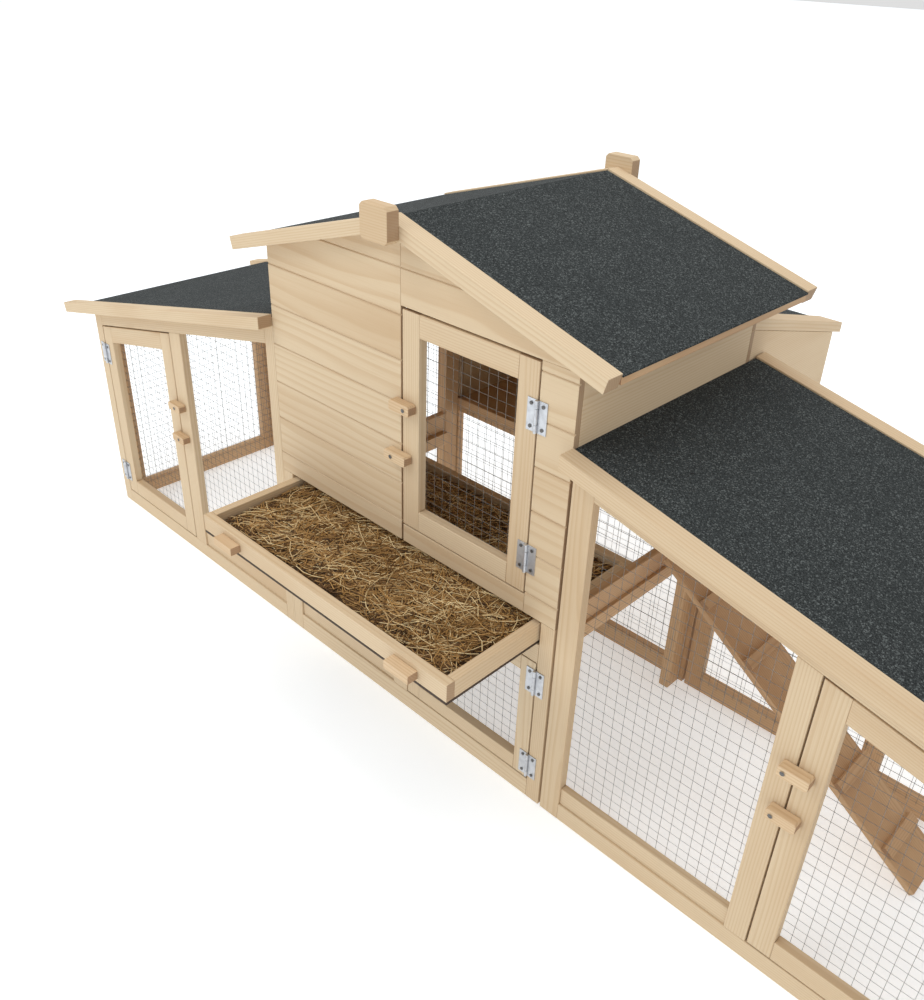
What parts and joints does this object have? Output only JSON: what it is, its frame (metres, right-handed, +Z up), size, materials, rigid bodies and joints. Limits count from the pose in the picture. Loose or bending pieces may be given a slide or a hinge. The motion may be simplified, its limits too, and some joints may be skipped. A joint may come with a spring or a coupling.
{
  "type": "rabbit hutch",
  "caption": "Gabled wooden rabbit hutch between lean-to mesh runs, with hinged mesh doors, turn buttons, a pull-out bedding tray, a ramp and a rear nest box with a lifting lid.",
  "frame": {"origin": "centre of the footprint on the ground, with the bedding tray pulled out", "axes": "+X right along the front, +Y from the doors to the nest box at the back, +Z up"},
  "size_m": [2.42, 1.102, 1.008],
  "materials": {
    "spruce": "matte",
    "roofing_felt": "matte",
    "welded_mesh": "satin",
    "zinc": "satin",
    "straw": "matte",
    "tray_sheet": "matte"
  },
  "bodies": {
    "hutch": {"back_wall": "spruce", "fixed_hinge_leaves": "zinc", "fixed_hinge_screws": "zinc", "front_wall_left": "spruce", "front_wall_right": "spruce", "ground_back_frame": "spruce", "ground_front_frame": "spruce", "ground_mesh_panels": "welded_mesh", "house_bargeboards": "spruce", "house_posts": "spruce", "house_roof_boards": "spruce", "house_roof_felt": "roofing_felt", "left_run_back_frame": "spruce", "left_run_bargeboards": "spruce", "left_run_end_frame": "spruce", "left_run_front_frame": "spruce", "left_run_mesh_panels": "welded_mesh", "left_run_roof_board": "spruce", "left_run_roof_felt": "roofing_felt", "nest_box_floor": "spruce", "nest_box_walls": "spruce", "peak_plates": "spruce", "right_run_back_frame": "spruce", "right_run_bargeboards": "spruce", "right_run_end_frame": "spruce", "right_run_front_frame": "spruce", "right_run_mesh_panels": "welded_mesh", "right_run_roof_board": "spruce", "right_run_roof_felt": "roofing_felt", "side_walls": "spruce", "tray_runners": "spruce"},
    "tray": {"tray_frame": "spruce", "tray_floor": "tray_sheet", "tray_handles": "spruce", "straw_bedding": "straw"},
    "house_door": {"house_door_frame": "spruce", "house_door_mesh": "welded_mesh", "house_door_hinge_leaves": "zinc"},
    "ground_door": {"ground_door_frame": "spruce", "ground_door_mesh": "welded_mesh", "ground_door_hinge_leaves": "zinc"},
    "left_run_door": {"left_run_door_frame": "spruce", "left_run_door_mesh": "welded_mesh", "left_run_door_hinge_leaves": "zinc"},
    "right_run_door": {"right_run_door_frame": "spruce", "right_run_door_mesh": "welded_mesh", "right_run_door_hinge_leaves": "zinc"},
    "nest_lid": {"nest_lid_board": "spruce", "nest_lid_felt": "roofing_felt", "nest_lid_battens": "spruce", "nest_lid_hinge_leaves": "zinc"},
    "ramp": {"ramp_board": "spruce", "ramp_cleats": "spruce"},
    "house_door_button_upper": {"house_door_button_upper": "spruce"},
    "house_door_button_lower": {"house_door_button_lower": "spruce"},
    "left_run_button_upper": {"left_run_button_upper": "spruce"},
    "left_run_button_lower": {"left_run_button_lower": "spruce"},
    "right_run_button_upper": {"right_run_button_upper": "spruce"},
    "right_run_button_lower": {"right_run_button_lower": "spruce"},
    "ground_door_button": {"ground_door_button": "spruce"}
  },
  "joints": [
    {"name": "tray_slide", "type": "slide", "parent": "hutch", "child": "tray", "axis": [0, -1, 0], "range_m": [-0.207, 0.12]},
    {"name": "house_door_hinge", "type": "hinge", "parent": "hutch", "child": "house_door", "pos_m": [0.2905, -0.3242, 0.638], "axis": [0, 0, 1], "range_deg": [0, 120]},
    {"name": "ground_door_hinge", "type": "hinge", "parent": "hutch", "child": "ground_door", "pos_m": [0.3295, -0.3242, 0.187], "axis": [0, 0, 1], "range_deg": [0, 120]},
    {"name": "left_run_door_hinge", "type": "hinge", "parent": "hutch", "child": "left_run_door", "pos_m": [-1.0855, -0.3242, 0.264], "axis": [0, 0, -1], "range_deg": [0, 120]},
    {"name": "right_run_door_hinge", "type": "hinge", "parent": "hutch", "child": "right_run_door", "pos_m": [1.0995, -0.3242, 0.264], "axis": [0, 0, 1], "range_deg": [0, 120]},
    {"name": "nest_lid_hinge", "type": "hinge", "parent": "hutch", "child": "nest_lid", "pos_m": [0, 0.1722, 0.80153], "axis": [1, 0, 0], "range_deg": [0, 55]},
    {"name": "ramp_hinge", "type": "hinge", "parent": "hutch", "child": "ramp", "pos_m": [0.364, 0.033, 0.396], "axis": [0, -1, 0], "range_deg": [0, 45]},
    {"name": "house_door_button_upper_turn", "type": "hinge", "parent": "house_door", "child": "house_door_button_upper", "pos_m": [0.022, -0.3303, 0.6725], "axis": [0, 1, 0], "range_deg": [-90, 90]},
    {"name": "house_door_button_lower_turn", "type": "hinge", "parent": "hutch", "child": "house_door_button_lower", "pos_m": [-0.01, -0.3303, 0.5745], "axis": [0, 1, 0], "range_deg": [-90, 90]},
    {"name": "left_run_button_upper_turn", "type": "hinge", "parent": "hutch", "child": "left_run_button_upper", "pos_m": [-0.748, -0.3303, 0.403], "axis": [0, 1, 0], "range_deg": [-90, 90]},
    {"name": "left_run_button_lower_turn", "type": "hinge", "parent": "hutch", "child": "left_run_button_lower", "pos_m": [-0.748, -0.3303, 0.3235], "axis": [0, 1, 0], "range_deg": [-90, 90]},
    {"name": "right_run_button_upper_turn", "type": "hinge", "parent": "hutch", "child": "right_run_button_upper", "pos_m": [0.766, -0.3303, 0.408], "axis": [0, 1, 0], "range_deg": [-90, 90]},
    {"name": "right_run_button_lower_turn", "type": "hinge", "parent": "hutch", "child": "right_run_button_lower", "pos_m": [0.766, -0.3303, 0.326], "axis": [0, 1, 0], "range_deg": [-90, 90]},
    {"name": "ground_door_button_turn", "type": "hinge", "parent": "hutch", "child": "ground_door_button", "pos_m": [-0.002, -0.3303, 0.24], "axis": [0, 1, 0], "range_deg": [-90, 90]}
  ]
}
